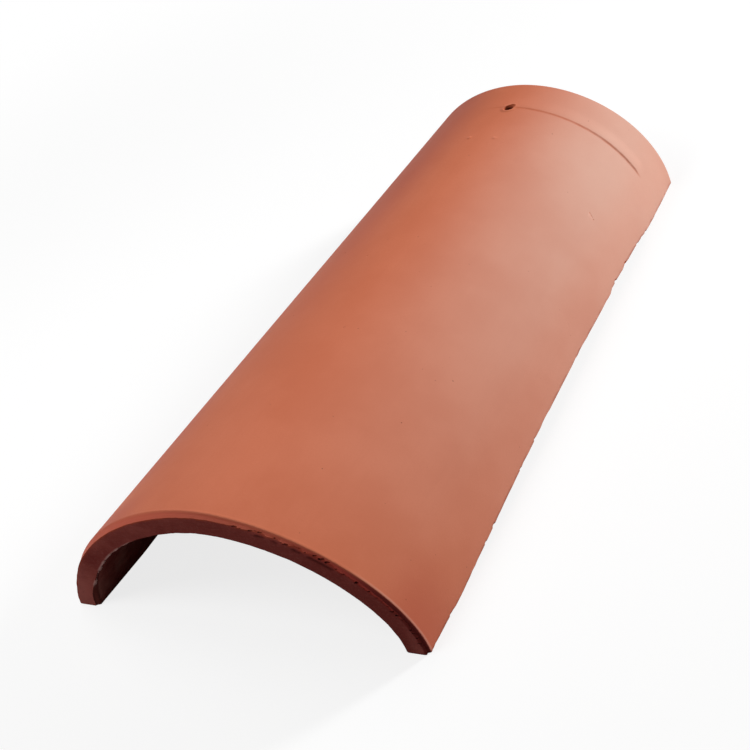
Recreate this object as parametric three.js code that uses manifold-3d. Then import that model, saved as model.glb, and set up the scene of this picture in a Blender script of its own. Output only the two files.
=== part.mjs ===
// A tapered barrel roof tile of fired clay, made in one piece.
// Units are millimetres and +Z is up. The tile lies on its two long edges, hollow side down, on Z = 0.
// The origin is on the floor under the tile's middle: the wide end is at -Y and the narrow end at +Y.

import * as THREE from "three";
import { mergeVertices } from "three/addons/utils/BufferGeometryUtils.js";
import Module from "manifold-3d";

const wasm = await Module();
wasm.setup();

// Overall form.
const LENGTH = 400;
const WIDE_WIDTH = 212.5;
const NARROW_WIDTH = 166;
const WIDE_HEIGHT = 75.5;
const NARROW_HEIGHT = 72;
const WALL = 12.5;

// How full the arch is at each end: the exponent of a superellipse, where 2 gives a true ellipse.
const WIDE_FULLNESS = 1.82;
const NARROW_FULLNESS = 1.95;

// Outer rim of the wide end: a steep riser down to a narrow tread, which slopes out to the end face.
const RIM_RISER_LENGTH = 0.8;
const RIM_RISER_DROP = 1.0;
const RIM_TREAD_LENGTH = 2.2;
const RIM_TREAD_DROP = 0.8;

// Long edges: flat pads at both ends, a shallow arched hollow between them, and bevelled outer corners.
const WIDE_PAD_LENGTH = 42;
const NARROW_PAD_LENGTH = 38;
const EDGE_HOLLOW_RISE = 5.5;
const LEFT_EDGE_BEVEL = 3;
const RIGHT_EDGE_BEVEL = 1;

// Stop ledge across the back, near the narrow end: a small step up, a short crest and a slow fall. It is
// faint from left of the crown, swells on the right flank and stops short of the right edge. Angles are in
// degrees from the crown. The step lies nearest the narrow end at the crown, and sweeps away from it.
const LEDGE_FROM_END = 27;
const LEDGE_SWEEP = 3.5;
const LEDGE_SWEEP_FADE = 20;
const LEDGE_STEP_LENGTH = 0.6;
const LEDGE_CREST_LENGTH = 2;
const LEDGE_FALL_LENGTH = 8;
const LEDGE_HEIGHT = 1;
const LEDGE_FAINT_HEIGHT = 0.35;
const LEDGE_LEFT_ANGLE = 30;
const LEDGE_SWELL_START = 25;
const LEDGE_SWELL_END = 55;
const LEDGE_RIGHT_ANGLE = 69;
const LEDGE_RUN_OUT = 5;

// Nail hole, punched straight down through the crown.
const HOLE_DIAMETER = 7.5;
const HOLE_FROM_END = 26.5;
const HOLE_OFF_CROWN = 3;
const HOLE_SIDES = 24;

// How finely the curved faces are divided.
const ARC_STEPS = 48;
const HOLLOW_STEPS = 14;

const CLAY = { color: 0xbe6a4c, roughness: 0.75, metalness: 0 };

const { clamp, degToRad, lerp, radToDeg, smoothstep } = THREE.MathUtils;

// Below, y counts from the wide end, and theta is an angle in radians that is zero at the crown.

// Half-width, height and fullness of the outer surface at y.
function archAt(y) {
  const t = y / LENGTH;
  return {
    halfWidth: lerp(WIDE_WIDTH, NARROW_WIDTH, t) / 2,
    height: lerp(WIDE_HEIGHT, NARROW_HEIGHT, t),
    fullness: lerp(WIDE_FULLNESS, NARROW_FULLNESS, t),
  };
}

// The same arch, smaller by the wall.
function hollowAt(y) {
  const arch = archAt(y);
  return { ...arch, halfWidth: arch.halfWidth - WALL, height: arch.height - WALL };
}

// Point of an arch at theta, as a vector of X and Z.
function archPoint(arch, theta) {
  const power = 2 / arch.fullness;
  const across = Math.sign(theta) * arch.halfWidth * Math.abs(Math.sin(theta)) ** power;
  const up = arch.height * Math.cos(theta) ** power;
  return new THREE.Vector2(across, up);
}

// Outward normal of an arch at one of its points.
function archNormal(arch, point) {
  const { halfWidth, height, fullness } = arch;
  const across = Math.sign(point.x) * (Math.abs(point.x) / halfWidth) ** (fullness - 1) / halfWidth;
  const up = (point.y / height) ** (fullness - 1) / height;
  return new THREE.Vector2(across, up).normalize();
}

// Theta at which an arch comes down to height z.
function thetaAtHeight(arch, z) {
  return Math.acos((z / arch.height) ** (arch.fullness / 2));
}

// Angles from theta at the right side's height over the crown to theta at the left side's height.
function sweepAngles(arch, rightHeight, leftHeight) {
  const right = thetaAtHeight(arch, rightHeight);
  const left = -thetaAtHeight(arch, leftHeight);
  return Array.from({ length: ARC_STEPS + 1 }, (_, i) => lerp(right, left, i / ARC_STEPS));
}

// Height of the long edges' underside: zero on the pads, a half sine wave between them.
function edgeRise(y) {
  const along = (y - WIDE_PAD_LENGTH) / (LENGTH - WIDE_PAD_LENGTH - NARROW_PAD_LENGTH);
  return along > 0 && along < 1 ? EDGE_HOLLOW_RISE * Math.sin(Math.PI * along) : 0;
}

// How far the rim of the wide end lies below the outer surface.
function rimDrop(y) {
  const tread = RIM_TREAD_DROP * Math.max(0, 1 - y / RIM_TREAD_LENGTH);
  const riser = RIM_RISER_DROP * clamp(1 - (y - RIM_TREAD_LENGTH) / RIM_RISER_LENGTH, 0, 1);
  return tread + riser;
}

// Stations of the ledge at the crown: foot of its step, top of its step, end of its crest, end of its fall.
const ledgeFoot = LENGTH - LEDGE_FROM_END;
const ledgeTop = ledgeFoot + LEDGE_STEP_LENGTH;
const ledgeCrestEnd = ledgeTop + LEDGE_CREST_LENGTH;
const ledgeEnd = ledgeCrestEnd + LEDGE_FALL_LENGTH;

// How far the ledge stands above the outer surface, for a station y of the ledge at the crown.
function ledgeRise(y, theta) {
  if (y <= ledgeFoot || y >= ledgeEnd) return 0;
  const angle = radToDeg(theta);
  const swell = smoothstep(angle, LEDGE_SWELL_START, LEDGE_SWELL_END);
  const rightEnd = 1 - smoothstep(angle, LEDGE_RIGHT_ANGLE - LEDGE_RUN_OUT, LEDGE_RIGHT_ANGLE);
  const leftEnd = smoothstep(angle, -LEDGE_LEFT_ANGLE, -LEDGE_LEFT_ANGLE / 2);
  const height = lerp(LEDGE_FAINT_HEIGHT, LEDGE_HEIGHT, swell) * rightEnd * leftEnd;
  const step = Math.min(1, (y - ledgeFoot) / LEDGE_STEP_LENGTH);
  const fall = 1 - smoothstep(y, ledgeCrestEnd, ledgeEnd);
  return height * step * fall;
}

// Where a point of the outer surface lies along the tile, for a station y at the crown. The full sweep is
// at the ledge, and it fades out on both sides of it.
function sweptStation(y, theta) {
  const reach = Math.min(1, Math.abs(radToDeg(theta)) / LEDGE_RIGHT_ANGLE);
  const fadeIn = clamp(1 - (ledgeFoot - y) / LEDGE_SWEEP_FADE, 0, 1);
  const fadeOut = clamp((LENGTH - y) / (LENGTH - ledgeEnd), 0, 1);
  return y - LEDGE_SWEEP * reach * reach * Math.min(fadeIn, fadeOut);
}

// Point of the outer surface, with the rim and the ledge.
function outerPoint(y, theta) {
  const station = sweptStation(y, theta);
  const arch = archAt(station);
  const point = archPoint(arch, theta);
  point.addScaledVector(archNormal(arch, point), ledgeRise(y, theta) - rimDrop(y));
  return new THREE.Vector3(point.x, station, point.y);
}

// Closed ring of the tile's section at station y: over the outer surface, across the left foot, back under
// the hollow and across the right foot.
function sectionAt(y) {
  const floor = edgeRise(y);
  const outerAngles = sweepAngles(archAt(y), floor + RIGHT_EDGE_BEVEL, floor + LEFT_EDGE_BEVEL);
  const outer = outerAngles.map((theta) => outerPoint(y, theta));
  const hollow = hollowAt(y);
  const inner = sweepAngles(hollow, floor, floor).reverse().map((theta) => {
    const point = archPoint(hollow, theta);
    return new THREE.Vector3(point.x, y, point.y);
  });
  const leftCorner = new THREE.Vector3(outer.at(-1).x + LEFT_EDGE_BEVEL, y, floor);
  const rightCorner = new THREE.Vector3(outer[0].x - RIGHT_EDGE_BEVEL, y, floor);
  return [...outer, leftCorner, ...inner, rightCorner];
}

// Where the sections stand along the tile.
function stations() {
  const rim = [0, RIM_TREAD_LENGTH, RIM_TREAD_LENGTH + RIM_RISER_LENGTH];
  const hollowLength = LENGTH - WIDE_PAD_LENGTH - NARROW_PAD_LENGTH;
  const hollow = Array.from({ length: HOLLOW_STEPS + 1 }, (_, i) => {
    return WIDE_PAD_LENGTH + (hollowLength * i) / HOLLOW_STEPS;
  });
  const ledge = [ledgeFoot, ledgeTop, ledgeCrestEnd, (ledgeCrestEnd + ledgeEnd) / 2, ledgeEnd];
  return [...rim, ...hollow, ...ledge, LENGTH].sort((a, b) => a - b);
}

// Triangles that close a flat ring, as triples of indices into it, seen from -Y.
function capTriangles(ring) {
  const outline = ring.map((point) => new THREE.Vector2(point.x, point.z));
  return THREE.ShapeUtils.triangulateShape(outline, []);
}

// Solid that passes through closed rings with like numbers of points. The first and last ring are flat.
function loft(rings) {
  const count = rings[0].length;
  const indices = [];
  for (let ring = 0; ring + 1 < rings.length; ring += 1) {
    for (let i = 0; i < count; i += 1) {
      const a = ring * count + i;
      const b = ring * count + ((i + 1) % count);
      indices.push(a, a + count, b, b, a + count, b + count);
    }
  }
  const lastRing = (rings.length - 1) * count;
  for (const [a, b, c] of capTriangles(rings[0])) {
    indices.push(a, b, c);
  }
  for (const [a, b, c] of capTriangles(rings.at(-1))) {
    indices.push(lastRing + a, lastRing + c, lastRing + b);
  }
  const geometry = new THREE.BufferGeometry();
  geometry.setFromPoints(rings.flat());
  geometry.setIndex(indices);
  return geometry;
}

// Turns a geometry into a solid that can be cut.
function toSolid(geometry) {
  const bare = geometry.clone();
  bare.deleteAttribute("normal");
  bare.deleteAttribute("uv");
  const merged = mergeVertices(bare, 1e-4);
  return new wasm.Manifold(new wasm.Mesh({
    numProp: 3,
    vertProperties: new Float32Array(merged.attributes.position.array),
    triVerts: new Uint32Array(merged.index.array),
  }));
}

// Turns a solid back into a geometry.
function toGeometry(solid) {
  const { vertProperties, triVerts } = solid.getMesh();
  const geometry = new THREE.BufferGeometry();
  geometry.setAttribute("position", new THREE.BufferAttribute(vertProperties, 3));
  geometry.setIndex(new THREE.BufferAttribute(triVerts, 1));
  geometry.computeVertexNormals();
  return geometry;
}

function tileBody() {
  const body = loft(stations().map(sectionAt));
  body.translate(0, -LENGTH / 2, 0);
  return body;
}

function nailHole() {
  const depth = 2 * WIDE_HEIGHT;
  const hole = new THREE.CylinderGeometry(HOLE_DIAMETER / 2, HOLE_DIAMETER / 2, depth, HOLE_SIDES);
  hole.rotateX(degToRad(90));
  hole.translate(HOLE_OFF_CROWN, LENGTH / 2 - HOLE_FROM_END, NARROW_HEIGHT);
  return hole;
}

function barrelTile() {
  const pierced = toSolid(tileBody()).subtract(toSolid(nailHole()));
  const tile = new THREE.Mesh(toGeometry(pierced), new THREE.MeshStandardMaterial(CLAY));
  tile.name = "barrel_tile";
  return tile;
}

const clayRoofTile = new THREE.Group();
clayRoofTile.add(barrelTile());

export default clayRoofTile;
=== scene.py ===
"""A tapered barrel roof tile of red fired clay, lying on its long edges on a white studio floor.

The tile is made as the real one is: a flat slab of clay is laid out, bent over a former, trimmed,
pierced and chipped. Geometry Nodes do that work. Everything is in metres, with the wide end at -Y, the
narrow end at +Y, the crown up and the long edges on the floor at Z = 0.

Places round the arch are in degrees from the crown, minus to the left. Places along the tile are from
the wide end, and depths from the back. In a tuple that a ramp takes, the first two numbers say where a
change starts and where it is complete, and two more say what it goes from and to. Where it is a ramp
near a middle, that middle comes first.
"""

import math
from types import SimpleNamespace

import bpy
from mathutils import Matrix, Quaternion, Vector


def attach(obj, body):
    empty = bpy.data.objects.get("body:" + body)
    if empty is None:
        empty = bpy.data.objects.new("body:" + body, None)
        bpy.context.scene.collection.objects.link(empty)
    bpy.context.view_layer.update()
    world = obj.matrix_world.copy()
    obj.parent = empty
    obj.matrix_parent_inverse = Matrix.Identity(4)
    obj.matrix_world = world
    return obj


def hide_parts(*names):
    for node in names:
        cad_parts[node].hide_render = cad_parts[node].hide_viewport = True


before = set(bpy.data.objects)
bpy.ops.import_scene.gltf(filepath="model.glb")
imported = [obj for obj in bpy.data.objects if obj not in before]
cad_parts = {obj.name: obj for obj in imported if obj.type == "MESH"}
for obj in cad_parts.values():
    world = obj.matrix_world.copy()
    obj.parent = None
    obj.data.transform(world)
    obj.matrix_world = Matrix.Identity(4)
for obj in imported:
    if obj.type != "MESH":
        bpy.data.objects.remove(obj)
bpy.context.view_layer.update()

MM = 0.001


def mm(*sizes):
    """Sizes given in millimetres, in metres."""
    return [size * MM for size in sizes]


# Overall form of the tile.
LENGTH = 400 * MM
WIDE_WIDTH = 212.4 * MM
NARROW_WIDTH = 166 * MM
WALL = 12.5 * MM

# Degrees from the crown to a long edge. It turns degrees into a share of the slab's half width.
EDGE_DEGREES = 86

# Low pimples on the back, by degrees and place along. The mesh has low domes, and the finish adds their
# crisp tips. The tile's half width there is a share of the narrow end's whole width.
PIMPLES = [(-5.6, 339.4 * MM), (5.8, 338.9 * MM)]
PIMPLE_HALF_WIDTH = 0.52
PIMPLE_DOME = mm(2.2, 0, 0, 0.3)
PIMPLE_TIP = mm(1.9, 0, 0, 0.25)

# The middle value of every noise.
MIDDLE = 0.5

# Scattered dots: how small the least of them is, and how their edge fades, in shares of a radius.
SMALLEST_DOT = 0.4
DOT_EDGE = (1.0, 0.35)


def srgb(red, green, blue):
    """Linear colour of display levels from 0 to 255."""
    levels = [level / 255 for level in (red, green, blue)]
    return [v / 12.92 if v <= 0.04045 else ((v + 0.055) / 1.055) ** 2.4 for v in levels] + [1.0]


def sign(operation):
    """A sign of arithmetic, with a wire on its left and with one on its right."""
    return (
        lambda wire, other: wire.bench.math(operation, wire, other),
        lambda wire, other: wire.bench.math(operation, other, wire),
    )


class Wire:
    """A socket's value. Arithmetic on wires adds Math nodes to the tree that they belong to."""

    def __init__(self, bench, socket):
        self.bench = bench
        self.socket = socket

    __add__, __radd__ = sign("ADD")
    __sub__, __rsub__ = sign("SUBTRACT")
    __mul__, __rmul__ = sign("MULTIPLY")
    __truediv__, __rtruediv__ = sign("DIVIDE")
    __pow__ = sign("POWER")[0]

    def __neg__(self):
        return self.bench.math("MULTIPLY", self, -1)

    def __abs__(self):
        return self.bench.math("ABSOLUTE", self)

    def ramp(self, start, end, low=0.0, high=1.0, smooth=True):
        """From low to high as the value goes from start to end, and level beyond them."""
        settings = {"interpolation_type": "SMOOTHSTEP" if smooth else "LINEAR"}
        sockets = {"Value": self, "From Min": start, "From Max": end, "To Min": low, "To Max": high}
        return self.bench.add("ShaderNodeMapRange", settings, sockets)["Result"]

    def between(self, one_side, other_side):
        """1 in the middle of a stretch, with a ramp at either side of it."""
        return self.ramp(*one_side) * self.ramp(*other_side)

    def near(self, middle, *change):
        """A ramp over how far the value is from middle."""
        return abs(self - middle).ramp(*change)


class Bench:
    """One node tree, and the ways in which nodes are added to it."""

    def __init__(self, tree):
        self.tree = tree

    def add(self, kind, settings=None, sockets=None):
        """Adds a node, sets it up, then fills its sockets. Returns its outputs as wires, by name."""
        node = self.tree.nodes.new(kind)
        for name, value in (settings or {}).items():
            setattr(node, name, value)
        for key, value in (sockets or {}).items():
            self.fill(self.find_input(node, key), value)
        return {output.name: Wire(self, output) for output in node.outputs if output.enabled}

    @staticmethod
    def find_input(node, key):
        """An input by its number, or the one in use by its name."""
        if isinstance(key, int):
            return node.inputs[key]
        return next(socket for socket in node.inputs if socket.name == key and socket.enabled)

    def fill(self, socket, value):
        """Links a wire to an input, or sets the input's own value."""
        if isinstance(value, Wire):
            self.tree.links.new(value.socket, socket)
        elif isinstance(value, list) and isinstance(value[0], Wire):
            for wire in value:
                self.tree.links.new(wire.socket, socket)
        else:
            socket.default_value = value

    def geometry(self, kind, geometry, settings=None, **sockets):
        """A geometry that one Geometry Node has worked on."""
        return self.add("GeometryNode" + kind, settings, {"Geometry": geometry, **sockets})["Geometry"]

    def math(self, operation, *values):
        """A Math node's result."""
        return self.add("ShaderNodeMath", {"operation": operation}, dict(enumerate(values)))["Value"]

    def least(self, a, b):
        return self.math("MINIMUM", a, b)

    def most(self, a, b):
        return self.math("MAXIMUM", a, b)

    def sine(self, angle):
        return self.math("SINE", angle)

    def cosine(self, angle):
        return self.math("COSINE", angle)

    def distance(self, x, y):
        """How far apart two places are that differ by x and y."""
        return self.math("SQRT", x * x + y * y)

    def blend(self, start, end, share):
        """From start to end as share goes from 0 to 1."""
        return start + (end - start) * share

    def vector(self, x, y, z):
        return self.add("ShaderNodeCombineXYZ", None, {"X": x, "Y": y, "Z": z})["Vector"]

    def parts(self, vector):
        """A vector's coordinates, by their letters."""
        return self.add("ShaderNodeSeparateXYZ", None, {"Vector": vector})

    def join(self, operation, place, values):
        """A Vector Math node's result."""
        sockets = {0: place, 1: values}
        return self.add("ShaderNodeVectorMath", {"operation": operation}, sockets)["Vector"]

    def tint(self, share, start, end):
        """A colour between two colours."""
        sockets = {"Factor": share, "A": start, "B": end}
        return self.add("ShaderNodeMix", {"data_type": "RGBA"}, sockets)["Result"]

    def coated(self, colour, coats):
        """A colour with others laid over it in turn: pairs of how much each covers and its colour."""
        for share, coat in coats:
            colour = self.tint(share, colour, coat)
        return colour

    def dots(self, place, spacing, radius, share, seed):
        """Scattered round dots, 1 in their middles and 0 outside. Only a share of the cells has one."""
        moved = self.join("ADD", place, (seed, 0.0, 0.0))
        sockets = {"Vector": moved, "Scale": 1 / spacing}
        cell = self.add("ShaderNodeTexVoronoi", {"feature": "F1"}, sockets)
        chance = self.add("ShaderNodeSeparateColor", None, {"Color": cell["Color"]})
        size = chance["Green"] * radius + radius * SMALLEST_DOT
        here = self.math("LESS_THAN", chance["Red"], share)
        return here * (cell["Distance"] * spacing / size).ramp(*DOT_EDGE)

    def noise(self, place, grain, seed, detail=1.0, roughness=0.5):
        """Smooth noise of about that grain, in metres. It goes from 0 to 1, and is mostly near 0.5."""
        sockets = {
            "Vector": place, "W": seed, "Scale": 1 / grain, "Detail": detail, "Roughness": roughness,
        }
        return self.add("ShaderNodeTexNoise", {"noise_dimensions": "4D"}, sockets)["Fac"]


# ---- the flat slab

# Sizes of the bent slab, as inputs of its tree. The fine surface is cut into the form by up to its
# relief, so that it stays inside it. The nail hole is oval, because its pin went in a little askew.
SLAB_SIZES = {
    "Length": LENGTH,
    "Wide Width": WIDE_WIDTH,
    "Narrow Width": NARROW_WIDTH,
    "Wide Height": 75.5 * MM,
    "Narrow Height": 72 * MM,
    "Wall": WALL,
    "Wide Fullness": 1.82,
    "Narrow Fullness": 1.95,
    "Wide Pad": 42 * MM,
    "Narrow Pad": 38 * MM,
    "Edge Hollow": 5.5 * MM,
    "Left Bevel": 0.3 * MM,
    "Right Bevel": 0.2 * MM,
    "Inner Edge Wear": 1.1 * MM,
    "Inner Edge Wear Left": 0.3 * MM,
    "Surface Relief": 0.3 * MM,
    "Foot Splay": 2.2 * MM,
    "Left Flat": 0.6 * MM,
    "Left Swelling": 0.7 * MM,
    "Right Swelling": 0.4 * MM,
    "Edge Bite": 1.35 * MM,
    "Riser Length": 0.8 * MM,
    "Riser Drop": 0.9 * MM,
    "Tread Length": 2.7 * MM,
    "Tread Length Right": 1.5 * MM,
    "Tread Drop": 1.2 * MM,
    "Tread Drop Right": 0.7 * MM,
    "Ledge From End": 27 * MM,
    "Ledge Sweep": 3.5 * MM,
    "Ledge Height": 0.54 * MM,
    "Ledge Faint Height": 0.22 * MM,
    "Hole Diameter": 5.4 * MM,
    "Hole Oval": 1.2,
    "Hole Turn": math.radians(-38),
    "Hole Lean": math.radians(-8),
    "Hole From End": 27.2 * MM,
    "Hole Off Crown": 3.4 * MM,
    "Lip Height": 0.32 * MM,
    "Arris Nicks": 30,
    "Nick Size": 1.2 * MM,
    "Burr Height": 0.7 * MM,
    "Burr Crumbs": 34,
    "Crumb Size": 0.65 * MM,
    "Columns": 195,
    "Rows": 196,
    "Layers": 9,
    "Seed": 4.0,
}

# How the slab's grid is spaced: pairs of a share of the grid and the share of the size that it reaches.
ROW_STOPS = [
    (0.0, 0.0), (0.106, 6 / 400), (0.154, 14 / 400), (0.58, 335 / 400), (0.622, 345 / 400),
    (0.648, 364 / 400), (0.918, 386 / 400), (0.978, 398 / 400), (1.0, 1.0),
]
COLUMN_STOPS = [(0.0, 0.0), (0.12, 0.06), (0.95, 0.965), (1.0, 1.0)]
LAYER_STOPS = [(0.0, 0.0), (0.25, 0.12), (0.75, 0.88), (1.0, 1.0)]

# Grains of the noises that fray the clay. They are laid out on the flat slab, whose half width is a
# share of the wide end's whole width.
SWELL_GRAIN, WAVER_GRAIN, NIBBLE_GRAIN, DIMPLE_GRAIN = mm(70, 12, 5, 45)
FLAT_HALF_WIDTH = 0.6

# How far round counts as right of the crown, from -1 to 1.
RIGHT_OF_CROWN = (-0.001, 0.001)


def position(bench):
    return bench.add("GeometryNodeInputPosition")["Position"]


def store(bench, geometry, name, value, domain="POINT"):
    """Keeps a number on the mesh under a name."""
    settings = {"domain": domain}
    return bench.geometry("StoreNamedAttribute", geometry, settings, Name=name, Value=value)


def stored(bench, name):
    """A number that was kept on the mesh."""
    return bench.add("GeometryNodeInputNamedAttribute", None, {"Name": name})["Attribute"]


def graded(share, stops):
    """A share of the grid turned into a share of the size, so that fine shapes get close rows."""
    total = 0.0
    for (grid_start, size_start), (grid_end, size_end) in zip(stops, stops[1:]):
        part = share.ramp(grid_start, grid_end, 0.0, size_end - size_start, smooth=False)
        total = part + total
    return total


def slab_grid(bench, size):
    """A flat slab as a gridded box: X round the arch from -1 to 1, Y along the tile, Z up the wall."""
    counts = {"Vertices X": size["Columns"], "Vertices Y": size["Rows"], "Vertices Z": size["Layers"]}
    slab = bench.add("GeometryNodeMeshCube", None, {"Size": (2.0, 1.0, 1.0), **counts})["Mesh"]
    place = bench.parts(position(bench))
    around = bench.math("SIGN", place["X"]) * graded(abs(place["X"]), COLUMN_STOPS)
    along = graded(place["Y"] + 0.5, ROW_STOPS)
    through = graded(0.5 - place["Z"], LAYER_STOPS)
    normal = bench.parts(bench.add("GeometryNodeInputNormal")["Normal"])
    lining = bench.most(-normal["Z"], 0.0)
    faces = {"cut_end": abs(normal["Y"]), "long_edge": abs(normal["X"]), "lining": lining}
    for name, value in faces.items():
        slab = store(bench, slab, name, value, domain="FACE")
    return bench.geometry("SetPosition", slab, Position=bench.vector(around, along, through))


def slab_spot(bench, size):
    """A point of the flat slab: where it lies round, along and into the tile, and its noises."""
    slab = bench.parts(position(bench))
    around, share, through = slab["X"], slab["Y"], slab["Z"]
    along = share * size["Length"]
    depth = through * size["Wall"]
    flat = bench.vector(around * size["Wide Width"] * FLAT_HALF_WIDTH, along, depth)
    return SimpleNamespace(
        around=around, share=share, through=through, along=along, depth=depth,
        side=bench.math("SIGN", around),
        right=around.ramp(*RIGHT_OF_CROWN, smooth=False),
        swell=bench.noise(flat, SWELL_GRAIN, size["Seed"]),
        waver=bench.noise(flat, WAVER_GRAIN, size["Seed"] + 1, detail=2.0),
        nibble=bench.noise(flat, NIBBLE_GRAIN, size["Seed"] + 2, detail=2.0),
        dimple=bench.noise(flat, DIMPLE_GRAIN, size["Seed"] + 3),
    )


# ---- the long edges

# The right edge is less hollow and more worn, and a long piece is bitten out of it.
RIGHT_HOLLOW_LESS = 0.12
CORNER_WEAR_RISE = 0.6
NIBBLED = (0.5, 0.8, 0.0, 0.5 * MM)
CRUMBLED = (0.5, 0.7, 0.0, 0.6 * MM)
EDGE_WEAR_DEPTH = mm(2.5, 0)
BITE_ALONG = (mm(281, 285), mm(352, 328))
BITE_FRAY = (0.25, 0.7, 0.8, 1.25)
BITE_DEPTH = mm(6, 2)
# Where shade is painted in a speckled line along the long edges' lower arris: how near the edges, and
# how patchy.
FOOT_ARRIS_SHADE_ROUND = (0.982, 0.998)
FOOT_ARRIS_SHADE_BY = (0.35, 0.6)


def edge_floor(bench, size, spot):
    """Height of the long edges' underside: level at both pads, a half sine wave between them."""
    reach = size["Length"] - size["Wide Pad"] - size["Narrow Pad"]
    share = ((spot.along - size["Wide Pad"]) / reach).ramp(0.0, 1.0, smooth=False)
    hollow = size["Edge Hollow"] * bench.most(bench.sine(share * math.pi), 0.0)
    return hollow * (1 - RIGHT_HOLLOW_LESS * spot.right)


def corner_rise(bench, size, spot):
    """How far the long edge's outer corner is bevelled off, and its inner corner rubbed away."""
    bevel = bench.blend(size["Left Bevel"], size["Right Bevel"], spot.right)
    outer = bench.most(bevel - spot.depth, 0.0)
    wear = bench.blend(size["Inner Edge Wear Left"], size["Inner Edge Wear"], spot.right)
    inner = bench.most(spot.depth - size["Wall"] + wear, 0.0) / wear
    return outer + inner * inner * wear * CORNER_WEAR_RISE


def edge_wear(spot):
    """How far the long edges are nibbled off on the outer side. The right one crumbled too."""
    wear = spot.nibble.ramp(*NIBBLED) + spot.waver.ramp(*CRUMBLED) * spot.right
    return wear * spot.depth.ramp(*EDGE_WEAR_DEPTH)


def edge_bite(size, spot):
    """The long shallow piece broken off the right edge. It starts sharply and runs out slowly."""
    reach = spot.along.between(*BITE_ALONG)
    bite = size["Edge Bite"] * reach * spot.nibble.ramp(*BITE_FRAY)
    return bite * spot.right * spot.depth.ramp(*BITE_DEPTH)


# ---- the wide end's rim

# A tread, a riser with a groove at its foot on the right, and a bead behind it.
TREAD_NARROWS = (-42.0, 8.0)
TREAD_EASES = (8.0, 30.0)
TREAD_WAVER, TREAD_PAST_RISER = mm(0.5, 0.4)
RISER_WIDENS = (15.0, -45.0, 1.0, 3.4)
GROOVE_DEEPENS = (40.0, 70.0, 0.0, 0.5 * MM)
GROOVE_START = 0.3 * MM
BEAD = mm(1.6, 1.1, 0, 0, 0.1)
RIM_FADES_LEFT = (-50.0, -88.0, 1.0, 0.1)

# Where handling rubs the rim, and where a highlight and shade are painted on it, measured from its
# riser.
RUBBED_PAST_RISER, RUBBED_FULL, RUBBED_RAGGED = mm(0.3, 0.1, 0.8)
RUBBED_DEPTH = mm(0.9, 0.5)
LINES_START = (44.0, 62.0)
LINES_DEPTH = mm(0.6, 0.3)
# A thin pale line painted on the bead behind the riser as a highlight.
BEAD_HIGHLIGHT = mm(1.5, 0.9, 0.2)
CREASE = mm(0.1, 0.9, 0.35)
CREASE_WIDENS = (62.0, 76.0)
CREASE_END, CREASE_FULL = mm(0.6, 0.1)
CREASE_RAGGED = 1.4 * MM
CREASE_DEPTH = mm(1.6, 0.8)

# Long tears along the outer arris: their middles and half lengths, how ragged their ends are, over how
# much they fade out and in, how far back they cut, and where shade is painted in them along the tile and
# into it.
TEARS = [(21.8, 1.3), (26.6, 0.8), (33.2, 1.6), (38.1, 1.2), (42.0, 2.4)]
TEAR_RAGGED = 1.5
TEAR_OUTSIDE = 0.5
TEAR_INSIDE = 0.4
TEAR_CUT = 1.3 * MM
TEAR_ALONG = mm(1.6, 0.9)
TEAR_DEPTH = mm(2.2, 1.6, 0.8)

# How the outer arris is nibbled, the inner one worn, and the burr dragged out inside on the left.
RAGGED_BY = (0.42, 0.66)
RAGGED_ROUND = (5.0, 25.0, 0.3 * MM, 1.0 * MM)
RAGGED_DEPTH = mm(1.6, 0)
RAGGED_WAVER = 0.2 * MM
RAGGED_ALONG = mm(1.5, 0)
ARRIS_WEAR = 0.15 * MM
ARRIS_WEAR_ALONG = mm(1, 0)
ARRIS_NIBBLED = (0.45, 0.75, 0.0, 0.3 * MM)
BURR_OUT, BURR_FULL = mm(0.7, 0.2)
BURR_ROUND = ((-30.0, -42.0), (-78.0, -70.0))
BURR_ALONG = mm(1.4, 0.5)
BURR_FRAY = (0.42, 0.6)


def find_riser(bench, size, spot):
    """Notes where the riser starts and ends. The tread before it is narrow on the right flank."""
    right = spot.degrees.ramp(*TREAD_NARROWS)
    tread = bench.blend(size["Tread Length"], size["Tread Length Right"], right)
    spot.riser = tread + (spot.waver - MIDDLE) * TREAD_WAVER
    spot.riser_end = spot.riser + size["Riser Length"] * spot.degrees.ramp(*RISER_WIDENS)
    spot.behind_riser = spot.along - spot.riser


def rim_drop(bench, size, spot):
    """How far the rim lies below the back. The riser's foot is a shallow groove on the right flank."""
    riser = 1 - spot.along.ramp(spot.riser, spot.riser_end)
    eased = spot.degrees.ramp(*TREAD_EASES)
    slope = bench.blend(size["Tread Drop"], size["Tread Drop Right"], eased)
    tread = slope * spot.along.ramp(0.0, spot.riser + TREAD_PAST_RISER, 1.0, 0.0, smooth=False)
    groove = spot.degrees.ramp(*GROOVE_DEEPENS)
    groove = groove * spot.along.ramp(GROOVE_START, spot.riser) * riser
    left = spot.degrees.ramp(*RIM_FADES_LEFT)
    return (tread + size["Riser Drop"] * riser + groove) * left - spot.behind_riser.near(*BEAD)


def rubbed_rim(spot):
    """How far the skin is wiped off the tread and the riser. The wiping ends in a ragged line."""
    rim = spot.along.ramp(spot.riser_end + RUBBED_PAST_RISER, spot.riser + RUBBED_FULL)
    return rim * (spot.depth + (spot.nibble - MIDDLE) * RUBBED_RAGGED).ramp(*RUBBED_DEPTH)


def rim_line(spot, line):
    """A thin line behind the riser, on the right flank's skin."""
    line = spot.behind_riser.near(*line) * spot.depth.ramp(*LINES_DEPTH)
    return line * spot.degrees.ramp(*LINES_START)


def painted_crease_shade(bench, spot):
    """Shade painted in the rim's groove. It is a thin line that widens towards the right foot."""
    ragged = (spot.nibble - MIDDLE) * CREASE_RAGGED
    wide = spot.along.ramp(spot.riser + CREASE_END, spot.riser + CREASE_FULL)
    wide = wide * (spot.depth + ragged).ramp(*CREASE_DEPTH)
    return bench.most(rim_line(spot, CREASE), wide * spot.degrees.ramp(*CREASE_WIDENS))


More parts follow.
